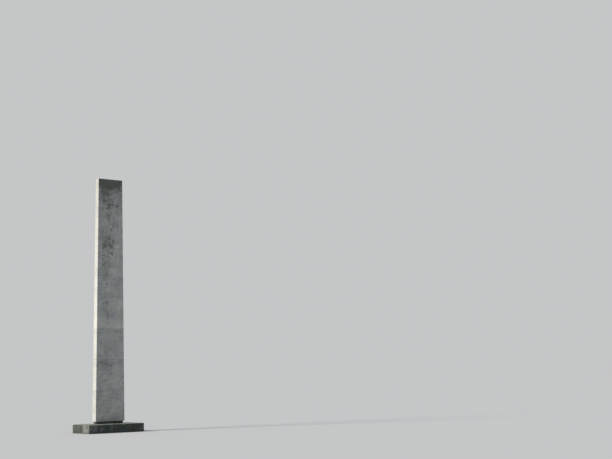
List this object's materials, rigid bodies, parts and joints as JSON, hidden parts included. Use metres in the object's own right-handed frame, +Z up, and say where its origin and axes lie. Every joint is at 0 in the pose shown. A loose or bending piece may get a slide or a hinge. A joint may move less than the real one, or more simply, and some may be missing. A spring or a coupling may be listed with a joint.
{
  "type": "flat-topped obelisk",
  "caption": "Tall flat-topped memorial pillar of coursed pale stone, tapering on all faces, on a recessed neck over a low stone plinth.",
  "frame": {"origin": "middle of the plinth's flat underside, at ground level", "axes": "+Z up, X along the width, -Y the broad front face, Y along the depth"},
  "size_m": [1.9, 1.14, 8],
  "materials": {
    "shaft_stone": "fine rubbed, weathered",
    "top_stone": "fine rubbed, darkened by algae",
    "plinth_stone": "weathered, mossy",
    "mortar": "lime mortar, raked",
    "neck_stone": "damp, dark"
  },
  "bodies": {
    "root": {"plinth_front_short": "plinth_stone", "plinth_front_long": "plinth_stone", "plinth_back_short": "plinth_stone", "plinth_back_long": "plinth_stone", "plinth_end_left": "plinth_stone", "plinth_end_right": "plinth_stone", "plinth_core": "plinth_stone", "joint_front": "mortar", "joint_back": "mortar", "long_joint_front": "mortar", "long_joint_back": "mortar", "core_joint_left": "mortar", "core_joint_right": "mortar", "neck_bed_lower": "mortar", "neck_block": "neck_stone", "neck_bed_upper": "mortar", "course_1": "shaft_stone", "course_2": "shaft_stone", "course_3": "shaft_stone", "course_4": "shaft_stone", "course_5": "shaft_stone", "course_6": "shaft_stone", "course_7": "shaft_stone", "course_8": "top_stone", "bed_1": "mortar", "bed_2": "mortar", "bed_3": "mortar", "bed_4": "mortar", "bed_5": "mortar", "bed_6": "mortar", "bed_7": "mortar", "bed_8": "mortar", "cap_stone": "top_stone"}
  },
  "joints": []
}
